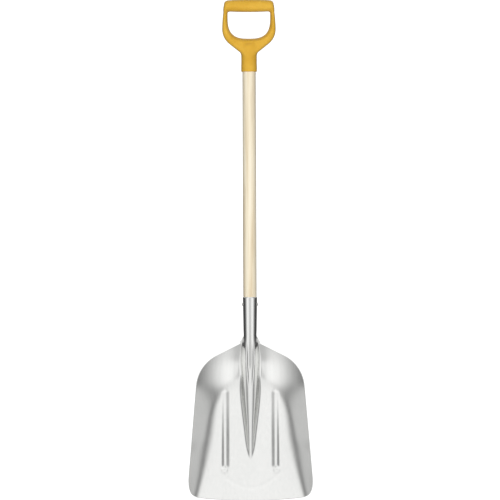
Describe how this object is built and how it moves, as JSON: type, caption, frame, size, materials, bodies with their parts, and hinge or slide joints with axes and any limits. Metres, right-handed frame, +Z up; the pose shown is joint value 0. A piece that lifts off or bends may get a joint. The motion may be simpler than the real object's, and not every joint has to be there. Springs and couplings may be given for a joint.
{
  "type": "grain scoop shovel",
  "caption": "Long-handled grain scoop: wide pressed aluminium dish with a rolled socket, ash shaft and moulded plastic D-grip.",
  "frame": {"origin": "middle of the underside of the grip's bar, where a hand or a hook carries the shovel", "axes": "+Z up along the shaft with the shovel hanging upright, X across the scoop, the scoop's load side faces -Y"},
  "size_m": [0.3248, 0.1638, 1.31],
  "materials": {
    "scoop_aluminium": "satin, rolled sheet",
    "shaft_wood": "clear-lacquered ash",
    "grip_plastic": "semi-gloss moulded",
    "rivet_aluminium": "upset heads, bright",
    "screw_steel": "zinc plated"
  },
  "bodies": {
    "root": {"blade": "scoop_aluminium", "shaft": "shaft_wood", "d_grip": "grip_plastic", "socket_rivet": "rivet_aluminium", "grip_screw": "screw_steel"}
  },
  "joints": []
}
